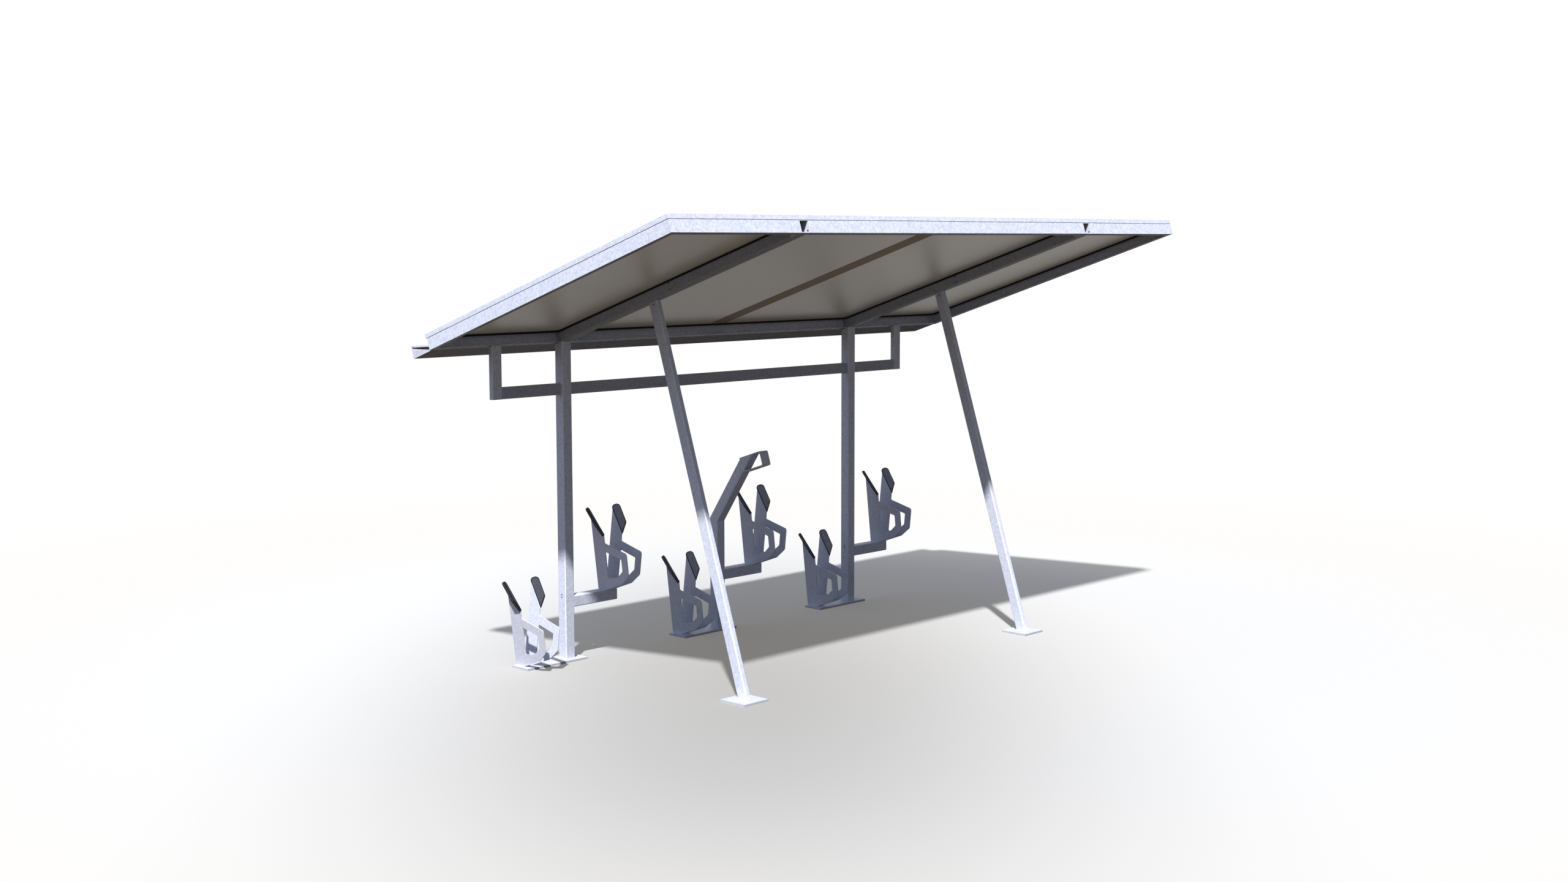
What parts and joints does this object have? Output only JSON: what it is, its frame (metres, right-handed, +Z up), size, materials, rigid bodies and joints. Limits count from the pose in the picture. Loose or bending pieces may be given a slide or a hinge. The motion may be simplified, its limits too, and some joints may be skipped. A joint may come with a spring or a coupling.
{
  "type": "bike shelter with wheel racks",
  "caption": "Open bike shelter: mono-pitch roof on square rear posts and leaning front legs, with wheel racks at two heights and a bent lock post.",
  "frame": {"origin": "on the ground under the middle of the whole shelter's box", "axes": "+X along the row of posts to the right, +Y to the rear (towards the gutter), +Z up"},
  "size_m": [5.115, 2.5086, 3.0431],
  "materials": {
    "galvanised": "hot-dip galvanised with a fine spangle, satin",
    "rubber": "matt moulded rubber",
    "deck": "plain matt board",
    "joint_strip": "plain matt batten"
  },
  "bodies": {
    "root": {"left_base_plate": "galvanised", "middle_base_plate": "galvanised", "right_base_plate": "galvanised", "left_post_foot": "galvanised", "middle_post_foot": "galvanised", "right_post_foot": "galvanised", "left_rack_arm": "galvanised", "middle_rack_arm": "galvanised", "right_rack_arm": "galvanised", "left_low_rack": "galvanised", "middle_low_rack": "galvanised", "right_low_rack": "galvanised", "left_high_rack": "galvanised", "middle_high_rack": "galvanised", "right_high_rack": "galvanised", "left_rack_caps": "rubber", "middle_rack_caps": "rubber", "right_rack_caps": "rubber", "left_rear_post": "galvanised", "right_rear_post": "galvanised", "lock_post": "galvanised", "lock_arm": "galvanised", "lock_loop": "galvanised", "left_front_leg": "galvanised", "right_front_leg": "galvanised", "left_front_foot": "galvanised", "right_front_foot": "galvanised", "left_rail": "galvanised", "middle_rail": "galvanised", "right_rail": "galvanised", "left_rail_upright": "galvanised", "right_rail_upright": "galvanised", "left_rafter": "galvanised", "right_rafter": "galvanised", "front_edge": "galvanised", "rear_edge": "galvanised", "left_edge": "galvanised", "right_edge": "galvanised", "front_trim": "galvanised", "rear_trim": "galvanised", "left_trim": "galvanised", "right_trim": "galvanised", "gutter": "galvanised", "left_deck": "deck", "right_deck": "deck", "deck_joint_strip": "joint_strip"}
  },
  "joints": []
}
